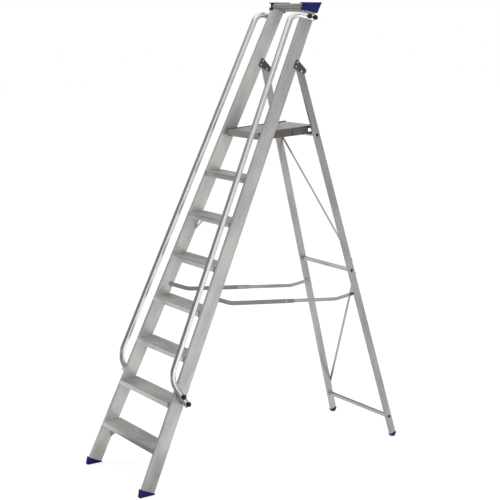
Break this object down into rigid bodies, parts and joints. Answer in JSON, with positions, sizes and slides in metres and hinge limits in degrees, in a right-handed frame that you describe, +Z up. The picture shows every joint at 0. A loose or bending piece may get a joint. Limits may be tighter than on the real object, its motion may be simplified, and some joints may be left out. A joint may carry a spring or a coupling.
{
  "type": "folding platform stepladder",
  "caption": "Aluminium folding platform stepladder with splayed stiles, lipped treads, tube handrails, a top tool tray and knuckled side stays.",
  "frame": {"origin": "on the floor, at the middle of the footprint", "axes": "+X across the width, -Y towards the climber, +Z up"},
  "size_m": [0.7156, 1.784, 2.58],
  "materials": {
    "aluminium": "satin extruded",
    "tread_aluminium": "satin, grooved",
    "chrome_tube": "polished",
    "black_plastic": "satin",
    "black_metal": "satin",
    "blue_plastic": "semi-gloss",
    "brown_plate": "satin",
    "bronze_plate": "reflective",
    "dark_steel": "satin",
    "stay_steel": "dark satin",
    "zinc_fastener": "bright"
  },
  "bodies": {
    "front_frame": {"stile_left": "aluminium", "stile_right": "aluminium", "tread_1": "tread_aluminium", "tread_2": "tread_aluminium", "tread_3": "tread_aluminium", "tread_4": "tread_aluminium", "tread_5": "tread_aluminium", "tread_6": "tread_aluminium", "tread_7": "tread_aluminium", "knee_braces_lower": "aluminium", "knee_braces_upper": "aluminium", "front_foot_left": "blue_plastic", "front_foot_right": "blue_plastic", "tray_front_rail": "aluminium", "tray_rear_rail": "aluminium", "tray_floor": "aluminium", "tray_cap_left": "blue_plastic", "tray_cap_right": "blue_plastic", "handrail_left": "chrome_tube", "handrail_right": "chrome_tube", "handrail_spacers": "black_plastic", "handrail_bolts": "zinc_fastener", "handrail_bolt_caps": "black_plastic", "hinge_plates_left": "brown_plate", "hinge_plates_right": "brown_plate", "hinge_plate_rivets": "zinc_fastener", "hinge_pins": "zinc_fastener", "platform_pivot_pins": "zinc_fastener", "stay_stile_pivots": "zinc_fastener"},
    "rear_frame": {"rear_leg_left": "aluminium", "rear_leg_right": "aluminium", "rear_foot_left": "blue_plastic", "rear_foot_right": "blue_plastic", "platform_support_bar": "aluminium", "middle_crossbar": "aluminium", "bottom_crossbar": "aluminium", "crossbar_bolts": "black_metal", "upper_diagonal": "aluminium", "lower_diagonal": "aluminium", "diagonal_rivets": "zinc_fastener", "stay_leg_pivots": "zinc_fastener"},
    "platform": {"platform_deck": "aluminium", "platform_side_left": "bronze_plate", "platform_side_right": "bronze_plate", "platform_hooks": "dark_steel", "platform_rivets": "zinc_fastener"},
    "stay_front_arms": {"stay_front_arm_left": "stay_steel", "stay_front_arm_right": "stay_steel", "knuckle_rivet_left": "zinc_fastener", "knuckle_rivet_right": "zinc_fastener"},
    "stay_rear_arms": {"stay_rear_arm_left": "stay_steel", "stay_rear_arm_right": "stay_steel", "knuckle_stud_left": "zinc_fastener", "knuckle_stud_right": "zinc_fastener"}
  },
  "joints": [
    {"name": "rear_frame_hinge", "type": "hinge", "parent": "front_frame", "child": "rear_frame", "pos_m": [0, 0.24451, 2.20345], "axis": [-1, 0, 0], "range_deg": [0, 34]},
    {"name": "platform_hinge", "type": "hinge", "parent": "front_frame", "child": "platform", "pos_m": [0, 0.00274, 1.85256], "axis": [1, 0, 0], "range_deg": [0, 62]},
    {"name": "stay_front_hinge", "type": "hinge", "parent": "front_frame", "child": "stay_front_arms", "pos_m": [0, -0.36238, 0.99768], "axis": [1, 0, 0], "range_deg": [0, 66]},
    {"name": "stay_rear_hinge", "type": "hinge", "parent": "rear_frame", "child": "stay_rear_arms", "pos_m": [0, 0.60759, 0.9048], "axis": [-1, 0, 0], "range_deg": [0, 65]}
  ],
  "couplings": [
    {"joint": "platform_hinge", "follows": "rear_frame_hinge", "ratio": 1.8235},
    {"joint": "stay_front_hinge", "follows": "rear_frame_hinge", "ratio": 1.9198},
    {"joint": "stay_rear_hinge", "follows": "rear_frame_hinge", "ratio": 1.8998}
  ]
}
